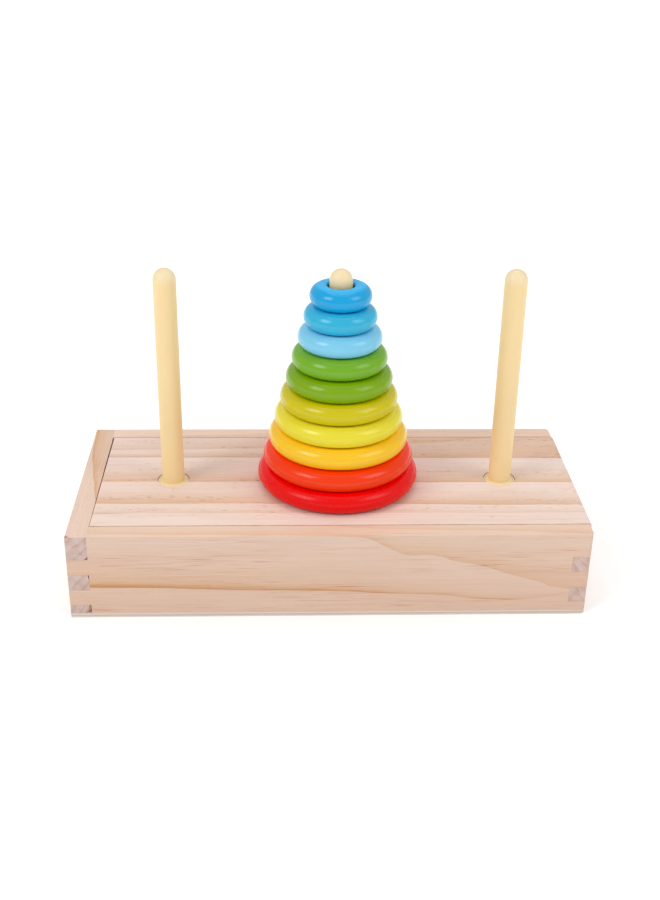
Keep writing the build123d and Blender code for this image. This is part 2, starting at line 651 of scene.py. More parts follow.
@dataclass(frozen=True)
class PlyFinish:
    """Thin pale plywood, with its three layers showing along the edge.

    Attributes:
        name: The material's name.
        thickness: The plate's thickness, in millimetres.
        face: The colour of the outer layers.
        core: The colour of the middle layer's end grain.
        glue: The colour of the glue lines.
    """

    name: str
    thickness: float
    face: Colour
    core: Colour
    glue: Colour

    def material(self) -> bpy.types.Material:
        """Build the material.

        Returns:
            The finished material.
        """
        graph = Graph(bpy.data.materials.new(self.name))
        place = graph.position()
        height = graph.parts(place)[2]
        middle = self.thickness / 2
        off_middle = (height - middle).absolute() * (1 / middle)
        glue_line = off_middle.rise(0.3, 0.36) - off_middle.rise(0.4, 0.46)
        grain = graph.noise(place, (25, 0.8, 3.0), 3.0)
        core_grain = graph.noise(place, (0.7, 0.7, 0.7), 3.0)
        inside = 1.0 - off_middle.rise(0.33, 0.4)
        colour = graph.mix(inside * (core_grain * 0.6 + 0.4), self.face, self.core)
        colour = graph.mix(glue_line.clamp() * 0.5, colour, self.glue)
        colour = graph.brighten(colour, (grain - 0.5) * 0.16 + 1.0)
        return graph.finish(
            {
                "Base Color": colour,
                "Roughness": (grain - 0.5) * 0.2 + 0.65,
                "Specular IOR Level": 0.35,
                "Normal": graph.bump(grain + core_grain * inside, 0.08 * MM, 0.6),
            }
        )


# --- Plastic and paint --------------------------------------------------------------------


@dataclass(frozen=True)
class PlasticFinish:
    """Satin moulded plastic, paler towards its tip, with a painted foot colour: painted light at a
    peg's foot, painted shade in a socket's recess.

    Attributes:
        name: The material's name.
        foot: The colour at its foot, where light and shade are painted.
        body: The colour above that.
        tip: The colour of the domed tip.
        foot_light_and_shade_heights: The heights between which the painted foot colour gives way,
            in millimetres.
        tip_heights: The heights between which it pales towards the tip, in millimetres.
        roughness: How blurred its reflections are.
    """

    name: str
    foot: Colour
    body: Colour
    tip: Colour
    foot_light_and_shade_heights: Point
    tip_heights: Point
    roughness: float

    def material(self) -> bpy.types.Material:
        """Build the material.

        Returns:
            The finished material.
        """
        graph = Graph(bpy.data.materials.new(self.name))
        place = graph.position()
        height = graph.parts(place)[2]
        cloud = graph.noise(place, (9, 9, 22))
        drawn = graph.noise(place, (0.7, 0.7, 30), 2.0)
        grain = graph.noise(place, (0.25, 0.25, 0.25), 2.0)
        # The foot colour is painted light and shade: a peg's foot is drawn paler against the shade
        # near the lid, and a socket's recess darker.
        colour = graph.mix(height.rise(*self.foot_light_and_shade_heights), self.foot, self.body)
        colour = graph.mix(height.rise(*self.tip_heights), colour, self.tip)
        colour = graph.brighten(colour, (cloud - 0.5) * 0.06 + 1.0)
        return graph.finish(
            {
                "Base Color": colour,
                "Roughness": (cloud - 0.5) * 0.12 + self.roughness,
                "Normal": graph.bump(drawn * 0.6 + grain * 0.4, 0.02 * MM, 0.5),
            }
        )


@dataclass(frozen=True)
class EnamelFinish:
    """Gloss enamel sprayed on turned wood.

    Attributes:
        name: The material's name.
        colour: The paint's colour.
        peel: How strongly the paint's orange peel shows.
        roughness: How blurred its reflections are.
        gloss: How strong its reflections are.
        painted_top_light: Painted light: how much brighter the flat top is drawn, for the light
            from above.
    """

    name: str
    colour: Colour
    peel: float = 0.45
    roughness: float = 0.2
    gloss: float = 0.4
    painted_top_light: float = 0.25

    def material(self) -> bpy.types.Material:
        """Build the material.

        Returns:
            The finished material.
        """
        graph = Graph(bpy.data.materials.new(self.name))
        place = graph.position()
        cloud = graph.noise(place, (14, 14, 5))
        peel = graph.noise(place, (1.3, 1.3, 1.0), 2.0)
        grit = graph.noise(place, (0.4, 0.4, 0.4), 1.0)
        # Painted light: the flat top, facing up, is drawn brighter for the light from above.
        upward = graph.parts(graph.node("ShaderNodeTexCoord", output="Normal"))[2]
        painted_top_light = upward.rise(0.85, 1.0) * self.painted_top_light
        colour = graph.brighten(self.colour, (cloud - 0.5) * 0.08 + painted_top_light + 1.0)
        height = peel * 0.6 + grit * 0.4
        return graph.finish(
            {
                "Base Color": colour,
                "Roughness": (peel - 0.5) * 0.1 + self.roughness,
                "Specular IOR Level": self.gloss,
                "Normal": graph.bump(height, 0.05 * MM, self.peel),
            }
        )


# --- Finishes of the pieces ---------------------------------------------------------------


LID_TONES = WoodTones(
    pale=srgb(235, 215, 205),
    body=srgb(223, 194, 175),
    late=srgb(214, 171, 137),
    line=srgb(192, 144, 108),
    blush=srgb(227, 197, 183),
    end_pale=srgb(205, 182, 174),
    end_dark=srgb(170, 138, 127),
    streak=srgb(190, 138, 106),
    resin=srgb(148, 90, 54),
)

WALL_TONES = WoodTones(
    pale=srgb(216, 191, 174),
    body=srgb(212, 181, 159),
    late=srgb(207, 168, 136),
    line=srgb(190, 140, 93),
    blush=srgb(209, 173, 153),
    end_pale=srgb(206, 181, 171),
    end_dark=srgb(173, 139, 126),
    streak=srgb(190, 131, 101),
    resin=srgb(132, 92, 70),
)

FRONT_PINE = PineFinish(
    name="pine_front",
    along=Axis.X,
    across=Axis.Z,
    depth=Axis.Y,
    face=-51.5,
    slant=1.0,
    pith=(70.0, -20.0),
    ends=(-112.0, 111.0),
    start=60.0,
    rings=(
        GrowthRing(
            line=(
                (-112, 52),
                (-40, 50),
                (10, 47.5),
                (42, 45.4),
                (71, 44.5),
                (97, 42.4),
                (111, 40.5),
            ),
            early=(0.0, 0.0),
            late=(0.45, 0.5),
            gain=4.0,
        ),
        GrowthRing(
            line=(
                (-112, 43.5),
                (-76, 42.3),
                (-35, 41.3),
                (0, 40.3),
                (16, 38.4),
                (29, 31.5),
                (43, 30.2),
                (50, 27.9),
                (70, 22.6),
                (91, 16.3),
                (100, 13.5),
                (111, 12.8),
            ),
            early=(0.1, 0.15),
            late=(0.55, 0.62),
            gain=2.2,
            crisp=0.1,
        ),
        GrowthRing(
            line=(
                (-112, 15.0),
                (-57, 13.9),
                (9, 12.5),
                (51, 10.4),
                (62, 8.5),
                (77, 7.9),
                (92, 9.2),
                (111, 12.3),
            ),
            early=(0.1, 0.05),
            late=(0.7, 0.35),
            gain=1.8,
            crisp=0.5,
        ),
    ),
    beyond=0.28,
    tones=WALL_TONES,
    resin_marks=0.12,
    streak_marks=0.95,
    painted_face_light=0.13,
)

BACK_PINE = PineFinish(
    name="pine_back",
    along=Axis.X,
    across=Axis.Z,
    depth=Axis.Y,
    face=51.5,
    slant=-0.8,
    pith=(-50.0, 30.0),
    ends=(-112.0, 111.0),
    start=70.0,
    rings=(
        GrowthRing(
            line=((-112, 46), (-30, 44), (50, 41), (111, 43)),
            early=(0.1, 0.0),
            late=(0.25, 0.2),
        ),
        GrowthRing(
            line=((-112, 30), (-50, 28), (20, 31), (111, 29)),
            early=(0.0, 0.05),
            late=(0.6, 0.8),
        ),
        GrowthRing(
            line=((-112, 12), (-40, 15), (40, 13), (111, 10)),
            early=(0.1, 0.0),
            late=(0.8, 0.5),
        ),
    ),
    beyond=0.2,
    tones=WALL_TONES,
    painted_face_light=0.17,
)

LEFT_PINE = PineFinish(
    name="pine_left",
    along=Axis.Y,
    across=Axis.X,
    depth=Axis.Z,
    face=40.0,
    slant=-0.8,
    pith=(-60.0, -20.0),
    ends=(-51.5, 51.5),
    start=-95.0,
    rings=(
        GrowthRing(
            line=(
                (-51.5, -99),
                (-18.9, -103.1),
                (-11.3, -104.8),
                (-0.3, -107),
                (21.2, -110.3),
                (51.5, -112),
            ),
            early=(0.33, 0.36),
            late=(0.74, 0.68),
        ),
    ),
    beyond=0.3,
    tones=LID_TONES,
    resin_marks=0.2,
    streak_marks=0.5,
    scorch=(-112.0, -51.5, 40.0),
)

RIGHT_PINE = PineFinish(
    name="pine_right",
    along=Axis.Y,
    across=Axis.Z,
    depth=Axis.X,
    face=111.0,
    slant=0.9,
    pith=(-20.0, 50.0),
    ends=(-51.5, 51.5),
    start=40.0,
    rings=(
        GrowthRing(line=((-51.5, 25), (0, 23), (51.5, 26)), early=(0.1, 0.2), late=(0.7, 0.6)),
        GrowthRing(line=((-51.5, 14), (0, 15), (51.5, 12)), early=(0.0, 0.1), late=(0.6, 0.8)),
    ),
    beyond=0.15,
    tones=WALL_TONES,
)

LID_PINE = PineFinish(
    name="pine_lid",
    along=Axis.X,
    across=Axis.Y,
    depth=Axis.Z,
    face=40.0,
    slant=0.35,
    pith=(60.0, -30.0),
    ends=(-102.4, 112.0),
    start=60.0,
    rings=(
        GrowthRing(
            line=((-102.4, 29), (-40, 30.5), (10, 33), (60, 38), (112, 46)),
            early=(0.0, 0.45),
            late=(0.32, 0.68),
            gain=3.0,
        ),
        GrowthRing(
            line=((-102.4, 21.6), (0, 20.6), (112, 19.2)),
            early=(0.0, 0.5),
            late=(0.7, 0.66),
            gain=2.2,
        ),
        GrowthRing(
            line=((-102.4, -2.3), (0, -3.3), (112, -4.5)),
            early=(0.0, 0.0),
            late=(0.66, 0.58),
        ),
        GrowthRing(
            line=((-102.4, -22.5), (0, -24), (112, -25.4)),
            early=(0.13, 0.0),
            late=(0.72, 0.6),
            gain=2.4,
        ),
        GrowthRing(line=((-102.4, -31.3), (112, -32.2)), early=(0.1, 0.04), late=(0.37, 0.32)),
    ),
    beyond=0.07,
    tones=LID_TONES,
    resin_marks=0.75,
    streak_marks=0.55,
    seam_wear_and_shade_edge=42.0,
)

BASE_PLY = PlyFinish(
    name="base_ply",
    thickness=2.0,
    face=srgb(220, 207, 199),
    core=srgb(190, 172, 160),
    glue=srgb(160, 140, 126),
)

# The pegs' foot colour is paler than the body: painted light against the shade near the lid.
PEG_PLASTIC = PlasticFinish(
    name="peg_plastic",
    foot=srgb(243, 216, 162),
    body=srgb(232, 205, 152),
    tip=srgb(230, 210, 168),
    foot_light_and_shade_heights=(40.0, 78.0),
    tip_heights=(133.5, 136.5),
    roughness=0.42,
)

# The sockets' foot colour is darker than the body, down in the recess: painted shade.
SOCKET_PLASTIC = PlasticFinish(
    name="socket_plastic",
    foot=srgb(226, 200, 160),
    body=srgb(240, 221, 188),
    tip=srgb(240, 221, 188),
    foot_light_and_shade_heights=(36.0, 39.4),
    tip_heights=(60.0, 70.0),
    roughness=0.4,
)

ENAMELS = {
    "red": EnamelFinish("paint_red", srgb(226, 0, 0), peel=1.0, roughness=0.26, gloss=0.22),
    "orange_red": EnamelFinish("paint_orange_red", srgb(232, 54, 0), peel=0.6, gloss=0.28),
    "amber": EnamelFinish("paint_amber", srgb(237, 188, 26)),
    "yellow": EnamelFinish("paint_yellow", srgb(222, 209, 46)),
    "olive_yellow": EnamelFinish("paint_olive_yellow", srgb(198, 185, 0), gloss=0.36),
    "green": EnamelFinish("paint_green", srgb(119, 160, 0), gloss=0.32),
    "leaf_green": EnamelFinish("paint_leaf_green", srgb(109, 165, 28), gloss=0.36),
    "pale_blue": EnamelFinish("paint_pale_blue", srgb(119, 193, 223)),
    "sea_blue": EnamelFinish("paint_sea_blue", srgb(42, 169, 206)),
    "bright_blue": EnamelFinish("paint_bright_blue", srgb(0, 153, 208), painted_top_light=0.36),
}


# --- Mesh helpers -------------------------------------------------------------------------


def make_object(
    name: str, shape: bmesh.types.BMesh, material: bpy.types.Material
) -> bpy.types.Object:
    """Turn a finished bmesh into an object of the scene.

    Args:
        name: The piece's name.
        shape: The mesh, in its place. It is freed here.
        material: The piece's material.

    Returns:
        The object, unturned and at the origin.
    """
    mesh = bpy.data.meshes.new(name)
    shape.to_mesh(mesh)
    shape.free()
    mesh.materials.append(material)
    piece = bpy.data.objects.new(name, mesh)
    bpy.context.scene.collection.objects.link(piece)
    return piece


def smooth_shade(piece: bpy.types.Object, crease: float = 50.0) -> None:
    """Shade a piece smoothly, with its flat faces kept flat.

    Args:
        piece: The piece.
        crease: The angle, in degrees, above which an edge stays sharp.
    """
    piece.data.shade_smooth()
    piece.data.set_sharp_from_angle(angle=math.radians(crease))
    even = piece.modifiers.new("even_shading", "WEIGHTED_NORMAL")
    even.keep_sharp = True


def stand_for(piece: bpy.types.Object, node: str, body: str) -> None:
    """Put a finished piece in place of its frame node.

    Args:
        piece: The piece.
        node: The node it stands for.
        body: The body it moves with.
    """
    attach(piece, body)
    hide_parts(node)
    LOG.info("%s stands for %s and rides on %s", piece.name, node, body)


def add_block(shape: bmesh.types.BMesh, low: Sequence[float], high: Sequence[float]) -> None:
    """Add a box between two corners.

    Args:
        shape: The bmesh to add to.
        low: The box's lowest corner.
        high: Its highest corner.
    """
    low, high = Vector(low), Vector(high)
    place = Matrix.Translation((low + high) / 2) @ Matrix.Diagonal((*(high - low), 1.0))
    bmesh.ops.create_cube(shape, size=1.0, matrix=place)


def extrude_outline(outline: Sequence[Vector], shift: Vector) -> bmesh.types.BMesh:
    """Fill a flat outline and give it a thickness.

    Args:
        outline: The outline's points, in order round it.
        shift: How far and which way the far side lies.

    Returns:
        The closed solid.
    """
    shape = bmesh.new()
    face = shape.faces.new([shape.verts.new(point) for point in outline])
    grown = bmesh.ops.extrude_face_region(shape, geom=[face], use_keep_orig=True)
    far = [item for item in grown["geom"] if isinstance(item, bmesh.types.BMVert)]
    bmesh.ops.translate(shape, verts=far, vec=shift)
    bmesh.ops.recalc_face_normals(shape, faces=shape.faces)
    return shape


def runs(edge: bmesh.types.BMEdge, way: Axis, *levels: tuple[Axis, float]) -> bool:
    """Tell whether an edge runs along an axis at given levels on the others.

    Args:
        edge: The edge.
        way: The axis it should run along.
        *levels: Each an axis and the edge's level on it.

    Returns:
        Whether it does.
    """
    step = edge.verts[1].co - edge.verts[0].co
    if abs(step[way.value]) < 0.999 * step.length:
        return False
    return all(abs(edge.verts[0].co[axis.value] - level) < TOLERANCE for axis, level in levels)


def is_corner(edge: bmesh.types.BMEdge) -> bool:
    """Tell whether an edge is an outer corner, and not a line inside a flat or rounded face."""
    return edge.is_convex and edge.calc_face_angle(0.0) > CORNER_ANGLE


def ease(
    shape: bmesh.types.BMesh, edges: list[bmesh.types.BMEdge], radius: float, segments: int
) -> None:
    """Round off edges.

    Args:
        shape: The bmesh to work on.
        edges: The edges.
        radius: The rounding's radius.
        segments: How many faces it has across.
    """
    bmesh.ops.bevel(
        shape,
        geom=edges,
        offset=radius,
        offset_type="OFFSET",
        affect="EDGES",
        segments=segments,
        profile=0.5,
        material=-1,
        clamp_overlap=True,
    )


def score(shape: bmesh.types.BMesh, axis: Axis, level: float) -> None:
    """Cut a line right round a mesh, with both sides kept.

    Args:
        shape: The bmesh to work on.
        axis: The axis that the cut is square to.
        level: Its level on that axis.
    """
    place, way = Vector(), Vector()
    place[axis.value] = level
    way[axis.value] = 1.0
    parts = [*shape.verts, *shape.edges, *shape.faces]
    bmesh.ops.bisect_plane(shape, geom=parts, dist=TOLERANCE / 10, plane_co=place, plane_no=way)


def carve(shape: bmesh.types.BMesh, tool: bmesh.types.BMesh) -> bmesh.types.BMesh:
    """Cut one closed mesh out of another.

    Args:
        shape: The mesh to cut. It is freed here.
        tool: The mesh that is taken away. It is freed here.

    Returns:
        The cut mesh, with its flat faces whole.
    """
    plain = bpy.data.materials.new("carving")
    block = make_object("carved_block", shape, plain)
    cutter = make_object("carving_tool", tool, plain)
    cut = block.modifiers.new("cut", "BOOLEAN")
    cut.operation = "DIFFERENCE"
    cut.solver = "EXACT"
    cut.object = cutter
    view = bpy.context.evaluated_depsgraph_get()
    carved = bmesh.new()
    carved.from_object(block, view)
    for scrap in (block, cutter):
        bpy.data.meshes.remove(scrap.data)
    bpy.data.materials.remove(plain)
    bmesh.ops.remove_doubles(carved, verts=carved.verts, dist=TOLERANCE / 10)
    bmesh.ops.dissolve_limit(
        carved, angle_limit=math.radians(0.5), verts=carved.verts, edges=carved.edges
    )
    return carved


def lathe(profile: Sequence[Point], centre: Vector, steps: int) -> bmesh.types.BMesh:
    """Turn a closed profile round an upright axis.

    Args:
        profile: The radius and height of each point, in order round the profile. It may start
            and end on the axis, and joins its last point to its first otherwise.
        centre: The point on the axis that the heights are measured from.
        steps: How many steps make a full turn.

    Returns:
        The turned solid.
    """
    shape = bmesh.new()
    points = [shape.verts.new(centre + Vector((radius, 0.0, height))) for radius, height in profile]
    edges = [shape.edges.new(pair) for pair in zip(points[:-1], points[1:])]
    if profile[0][0] > 0:
        edges.append(shape.edges.new((points[-1], points[0])))
    bmesh.ops.spin(
        shape,
        geom=points + edges,
        cent=centre,
        axis=(0, 0, 1),
        angle=2 * math.pi,
        steps=steps,
        use_merge=True,
        use_duplicate=False,
    )
    bmesh.ops.remove_doubles(shape, verts=shape.verts, dist=TOLERANCE / 10)
    bmesh.ops.recalc_face_normals(shape, faces=shape.faces)
    return shape


def arc(centre: Point, radius: float, start: float, end: float, steps: int) -> list[Point]:
    """Give the points of an arc.

    Args:
        centre: The arc's centre.
        radius: Its radius.
        start: The angle it starts at, in degrees.
        end: The angle it ends at, in degrees.
        steps: How many steps it has.

    Returns:
        Its points, both ends included.
    """
    points = []
    for step in range(steps + 1):
        angle = math.radians(start + (end - start) * step / steps)
        points.append((centre[0] + radius * math.cos(angle), centre[1] + radius * math.sin(angle)))
    return points


# --- Box ----------------------------------------------------------------------------------


@dataclass(frozen=True)
class WallEnd:
    """One end of a wall.

    Attributes:
        edge: Where the wall ends between its fingers.
        tip: Where its fingers end.
        spans: The lowest and highest levels of its fingers.
    """

    edge: float
    tip: float
    spans: list[Point]

    def trace(self, foot: float, top: float) -> list[Point]:
        """Trace the end from the wall's foot to its top.

        Args:
            foot: The wall's foot.
            top: The wall's top.

        Returns:
            The corners of the end, as places along the wall and heights.
        """
        trace = [(self.edge, foot)]
        for low, high in self.spans:
            trace += [(self.edge, low), (self.tip, low), (self.tip, high), (self.edge, high)]
        trace.append((self.edge, top))
        if self.spans[0][0] == foot:
            trace = trace[2:]
        if abs(self.spans[-1][1] - top) < TOLERANCE:
            trace = trace[:-2]
        return trace


@dataclass
class PineBox:
    """The four finger-jointed walls and the thin plate glued under them.

    Attributes:
        finger_height: The height of a whole finger.
        groove_depth: How deep the lid's groove goes into the front and back walls.
        groove_height: The groove's height.
        joint_ease: The rounding along the fingers.
        edge_ease: The rounding along the other edges.
        top_radius: The rounding along the top outer edge of the front and back walls.
        pull_radius: The rounding of the upright corners where the lid comes out.
        wedge_foot: How far the front left bottom finger is torn away at its foot.
        wedge_top: How far it is torn away at its top.
        sliver: How far the finger above it stands off at its top.
        sliver_height: How far down that gap reaches.
        tear_depth: How deep the tears go in from the front.
        chip: The size of the chip out of the front left top finger.
    """

    finger_height: float = 7.5 * MM
    groove_depth: float = 4.0 * MM
    groove_height: float = 4.8 * MM
    joint_ease: float = 0.12 * MM
    edge_ease: float = 0.3 * MM
    top_radius: float = 1.2 * MM
    pull_radius: float = 2.0 * MM
    wedge_foot: float = 3.6 * MM
    wedge_top: float = 1.3 * MM
    sliver: float = 0.6 * MM
    sliver_height: float = 3.2 * MM
    tear_depth: float = 2.2 * MM
    chip: float = 1.9 * MM

    def __post_init__(self) -> None:
        """Read the box's outline from the frame."""
        low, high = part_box("bottom_panel")
        self.left, self.front, self.table = low
        self.right, self.back, self.foot = high
        self.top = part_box("front_wall")[1].z
        self.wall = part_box("left_wall")[1].x - self.left
        pull_wall_low, pull_wall_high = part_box("right_wall")
        self.pull_wall = self.right - pull_wall_low.x
        self.seat = pull_wall_high.z
        seats = [self.seat - count * self.finger_height for count in (3, 2, 1, 0)]
        levels = [self.foot, *seats, self.top]
        spans = list(zip(levels[:-1], levels[1:]))
        self.odd_spans, self.even_spans = spans[0::2], spans[1::2]

    def wall_solid(
        self, way: Axis, ends: tuple[WallEnd, WallEnd], top: float, sides: Point
    ) -> bmesh.types.BMesh:
        """Build a wall with its fingers.

        Args:
            way: The axis that the wall is long on.
            ends: Its two ends, the lower one first.
            top: Its top.
            sides: Where its two faces are, on the axis across it.

        Returns:
            The wall.
        """
        start, end = (wall_end.trace(self.foot, top) for wall_end in ends)
        outline = []
        for place, height in end + start[::-1]:
            if way is Axis.X:
                outline.append(Vector((place, sides[0], height)))
            else:
                outline.append(Vector((sides[0], place, height)))
        thickness = sides[1] - sides[0]
        shift = Vector((0, thickness, 0)) if way is Axis.X else Vector((thickness, 0, 0))
        return extrude_outline(outline, shift)

    def cross_wall(self, spans: list[Point], top: float, sides: Point) -> bmesh.types.BMesh:
        """Build the left or the right wall, with fingers that fill the others' notches.

        Args:
            spans: The levels of its fingers.
            top: Its top.
            sides: Where its two faces are.

        Returns:
            The wall.
        """
        ends = (
            WallEnd(self.front + self.wall, self.front, spans),
            WallEnd(self.back - self.wall, self.back, spans),
        )
        return self.wall_solid(Axis.Y, ends, top, sides)

    def ease_corners(self, shape: bmesh.types.BMesh) -> None:
        """Ease every corner that is still sharp, and merge what that leaves without any width."""
        ease(shape, [edge for edge in shape.edges if is_corner(edge)], self.joint_ease, 2)
        bmesh.ops.remove_doubles(shape, verts=shape.verts, dist=TOLERANCE / 10)

    def long_wall(self, outer: float) -> bmesh.types.BMesh:
        """Build the front or the back wall.

        Args:
            outer: Where its outer face is.

        Returns:
            The wall, with the lid's groove, which runs out at the pull end.
        """
        inwards = math.copysign(1.0, -outer)
        inner = outer + inwards * self.wall
        ends = (
            WallEnd(self.left + self.wall, self.left, self.even_spans),
            WallEnd(self.right - self.pull_wall, self.right, self.odd_spans),
        )
        shape = self.wall_solid(Axis.X, ends, self.top, (outer, inner))
        groove = bmesh.new()
        across = sorted((inner - inwards * self.groove_depth, inner + inwards * self.wall))
        low = (self.left + self.wall / 2, across[0], self.seat)
        high = (self.right + self.wall, across[1], self.seat + self.groove_height)
        add_block(groove, low, high)
        shape = carve(shape, groove)
        outside = (Axis.Y, outer)
        pull = [edge for edge in shape.edges if runs(edge, Axis.Z, outside, (Axis.X, self.right))]
        ease(shape, pull, self.pull_radius, 5)
        top = [edge for edge in shape.edges if runs(edge, Axis.X, outside, (Axis.Z, self.top))]
        ease(shape, top, self.top_radius, 4)
        self.ease_corners(shape)
        return shape

    def left_wall(self) -> bmesh.types.BMesh:
        """Build the full-height wall at the closed end, with its torn front fingers.

        Returns:
            The wall.
        """
        inner = self.left + self.wall
        shape = self.cross_wall(self.odd_spans, self.top, (self.left, inner))
        (foot, low_top), (_, middle_top), (chip_level, _) = self.odd_spans
        torn = {foot: self.wedge_foot, low_top: self.wedge_top, middle_top: self.sliver}
        score(shape, Axis.Y, self.front + self.tear_depth)
        score(shape, Axis.Z, middle_top - self.sliver_height)
        chipped = []
        for vertex in shape.verts:
            if abs(vertex.co.x - inner) > TOLERANCE or abs(vertex.co.y - self.front) > TOLERANCE:
                continue
            for level, gap in torn.items():
                if abs(vertex.co.z - level) < TOLERANCE:
                    vertex.co.x -= gap
            if abs(vertex.co.z - chip_level) < TOLERANCE:
                chipped.append(vertex)
        bmesh.ops.bevel(
            shape,
            geom=chipped,
            offset=self.chip,
            offset_type="OFFSET",
            affect="VERTICES",
            segments=1,
            profile=0.5,
            material=-1,
        )
        corner = ((Axis.X, self.left), (Axis.Z, self.top))
        top = [edge for edge in shape.edges if runs(edge, Axis.Y, *corner)]
        ease(shape, top, self.edge_ease, 3)
        self.ease_corners(shape)
        return shape

    def right_wall(self) -> bmesh.types.BMesh:
        """Build the low wall that the lid slides out over.

        Returns:
            The wall.
        """
        sides = (self.right - self.pull_wall, self.right)
        shape = self.cross_wall(self.even_spans, self.seat, sides)
        pull = []
        for tip in (self.front, self.back):
            corner = ((Axis.X, self.right), (Axis.Y, tip))
            pull += [edge for edge in shape.edges if runs(edge, Axis.Z, *corner)]
        ease(shape, pull, self.pull_radius, 5)
        self.ease_corners(shape)
        return shape

    def base_plate(self) -> bmesh.types.BMesh:
        """Build the thin plate under the walls.

        Returns:
            The plate.
        """
        shape = bmesh.new()
        add_block(shape, (self.left, self.front, self.table), (self.right, self.back, self.foot))
        pull = [edge for edge in shape.edges if runs(edge, Axis.Z, (Axis.X, self.right))]
        ease(shape, pull, self.pull_radius, 5)
        self.ease_corners(shape)
        return shape

    def build(self) -> None:
        """Build and dress the walls and the plate."""
        boards = (
            ("pine_front_wall", "front_wall", self.long_wall(self.front), FRONT_PINE),
            ("pine_back_wall", "back_wall", self.long_wall(self.back), BACK_PINE),
            ("pine_left_wall", "left_wall", self.left_wall(), LEFT_PINE),
            ("pine_right_wall", "right_wall", self.right_wall(), RIGHT_PINE),
        )
        for name, node, shape, finish in boards:
            piece = make_object(name, shape, finish.material())
            smooth_shade(piece)
            stand_for(piece, node, "box")
        plate = make_object("ply_base_plate", self.base_plate(), BASE_PLY.material())
        smooth_shade(plate)
        stand_for(plate, "bottom_panel", "box")


# --- Lid ----------------------------------------------------------------------------------


@dataclass
class SlidingLid:
    """The lid and the three peg sockets pressed into it.

    Attributes:
        tongue_width: How far the tongues stand out into the grooves.
        tongue_height: The tongues' height.
        end_reach: How much nearer the closed end comes to the left wall than in the frame.
        skew: How far the closed end is out of square at each corner.
        pull_radius: The rounding along the top of the pull end.
        edge_ease: The rounding along the other edges.
        seam: The gap round each socket.
        mouth_flare: How far the pockets' mouths are eased.
        flange_recess: The depth of a socket's wide recess.
        recess_gap: The gap round the peg's flange in it.
        bore_gap: The gap round the peg's spigot.
        rim_radius: The rounding of a socket's rim.
        turn_steps: How many steps make a full turn.
    """

    tongue_width: float = 4.0 * MM
    tongue_height: float = 4.2 * MM
    end_reach: float = 0.2 * MM
    skew: float = 0.28 * MM
    pull_radius: float = 1.2 * MM
    edge_ease: float = 0.12 * MM
    seam: float = 0.1 * MM
    mouth_flare: float = 0.12 * MM
    flange_recess: float = 1.2 * MM
    recess_gap: float = 0.1 * MM
    bore_gap: float = 0.05 * MM
    rim_radius: float = 0.4 * MM
    turn_steps: int = 96

    def panel(self) -> bmesh.types.BMesh:
        """Build the lid with its tongues and its three pockets.

        Returns:
            The lid.
        """
        low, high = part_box("lid_panel")
        half = high.y - self.tongue_width
        shoulder = low.z + self.tongue_height
        side = [(high.y, low.z), (high.y, shoulder), (half, shoulder), (half, high.z)]
        section = side + [(-across, height) for across, height in side[::-1]]
        outline = [Vector((low.x, across, height)) for across, height in section]
        shape = extrude_outline(outline, Vector((high.x - low.x, 0, 0)))
        for vertex in shape.verts:
            if vertex.co.x < 0:
                vertex.co.x += self.skew * vertex.co.y / half - self.end_reach
        corner = ((Axis.X, high.x), (Axis.Z, high.z))
        pull = [edge for edge in shape.edges if runs(edge, Axis.Y, *corner)]
        ease(shape, pull, self.pull_radius, 4)
        ease(shape, [edge for edge in shape.edges if is_corner(edge)], self.edge_ease, 2)
        for side_name in Side:
            shape = carve(shape, self.pocket(side_name, high.z))
        return shape

    def pocket(self, side: Side, face: float) -> bmesh.types.BMesh:
        """Make the shape that is cut out of the lid for one socket.

        Args:
            side: Where the socket is.
            face: The height of the lid's top face.

        Returns:
            The shape.
        """
        low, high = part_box(f"socket_{side.value}")
        radius = (high.x - low.x) / 2 + self.seam
        rise = face - low.z
        mouth = radius + self.mouth_flare
        profile = [
            (0, -self.seam),
            (radius, -self.seam),
            (radius, rise - self.mouth_flare),
            (mouth, rise),
            (mouth, rise + self.mouth_flare),
            (0, rise + self.mouth_flare),
        ]
        return lathe(profile, Vector(((low.x + high.x) / 2, 0, low.z)), self.turn_steps)

    def socket(self, side: Side) -> bmesh.types.BMesh:
        """Build one socket: a cup with a wide recess over a narrow bore.

        Args:
            side: Where it is.

        Returns:
            The socket.
        """
        low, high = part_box(f"socket_{side.value}")
        peg_low, peg_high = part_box(f"peg_{side.value}")
        radius = (high.x - low.x) / 2
        height = high.z - low.z
        recess = (peg_high.x - peg_low.x) / 2 + self.recess_gap
        recess_floor = height - self.flange_recess
        bore = PegSet.spigot_radius + self.bore_gap
        bore_floor = peg_low.z - self.bore_gap - low.z
        rim = arc((radius - self.rim_radius, height - self.rim_radius), self.rim_radius, 0, 90, 4)
        lip = arc((recess + self.edge_ease, height - self.edge_ease), self.edge_ease, 90, 180, 3)
        profile = [(0, 0), (radius, 0)] + rim + lip
        profile += [(recess, recess_floor), (bore, recess_floor)]
        profile += [(bore, bore_floor), (0, bore_floor)]
        return lathe(profile, Vector(((low.x + high.x) / 2, 0, low.z)), self.turn_steps)

    def build(self) -> None:
        """Build and dress the lid and its sockets."""
        panel = make_object("pine_lid", self.panel(), LID_PINE.material())
        smooth_shade(panel)
        stand_for(panel, "lid_panel", "lid")
        plastic = SOCKET_PLASTIC.material()
        for side in Side:
            cup = make_object(f"peg_socket_{side.value}", self.socket(side), plastic)
            smooth_shade(cup)
            stand_for(cup, f"socket_{side.value}", "lid")


# --- Pegs ---------------------------------------------------------------------------------


